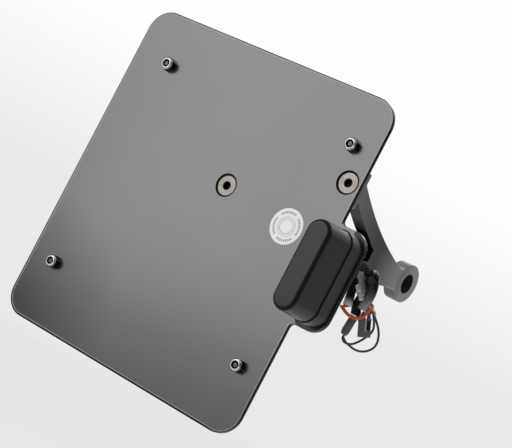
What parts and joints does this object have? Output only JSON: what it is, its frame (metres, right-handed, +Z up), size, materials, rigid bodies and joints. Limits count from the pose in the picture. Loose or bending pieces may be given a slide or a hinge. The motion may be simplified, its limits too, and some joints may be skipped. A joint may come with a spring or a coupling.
{
  "type": "side-mounted number plate bracket",
  "caption": "Flat number plate carrier on a curved machined arm whose eye is clamped under an axle bolt, with a plate light on an ear at its edge.",
  "frame": {"origin": "centre of the arm's axle bore, at the middle of the boss's thickness", "axes": "+X along the axle bore, out of the side that faces away from the wheel, to the right as the plate is read; +Y forwards, from the plate towards the wheel; +Z up"},
  "size_m": [0.2033, 0.1527, 0.2],
  "materials": {
    "plate_grey": "satin dark grey, anodised",
    "arm_grey": "dark grey, anodised and lightly blasted",
    "bright_zinc": "bright zinc, turned",
    "nut_steel": "bright zinc",
    "black_steel": "black oxide",
    "dark_nylon": "moulded nylon",
    "housing_black": "satin moulded plastic",
    "clear_lens": "clear, polished",
    "board_green": "solder resist",
    "chip_yellow": "phosphor under clear resin",
    "black_rubber": "satin rubber",
    "sleeve_grey": "matt rubber",
    "tinned": "tinned and pressed",
    "band_orange": "soft rubber",
    "lead_black": "satin insulation",
    "lead_blue": "satin insulation",
    "silver_foil": "printed silver film"
  },
  "bodies": {
    "root": {"base_plate": "plate_grey", "arm": "arm_grey", "arm_screws": "bright_zinc", "plate_screws": "black_steel", "lock_nuts": "nut_steel", "nut_inserts": "dark_nylon", "light_base": "housing_black", "light_cover": "housing_black", "light_lens": "clear_lens", "led_board": "board_green", "led_chips": "chip_yellow", "light_bolts": "nut_steel", "light_washers": "nut_steel", "light_nuts": "nut_steel", "cable_grommet": "black_rubber", "lamp_cable": "black_rubber", "elbow_boot": "black_rubber", "spare_boot": "black_rubber", "bullet_terminal": "tinned", "core_sleeve": "black_rubber", "plug_sleeve": "sleeve_grey", "socket_sleeve": "sleeve_grey", "rubber_band": "band_orange", "black_lead": "lead_black", "blue_lead": "lead_blue", "round_sticker": "silver_foil"}
  },
  "joints": []
}
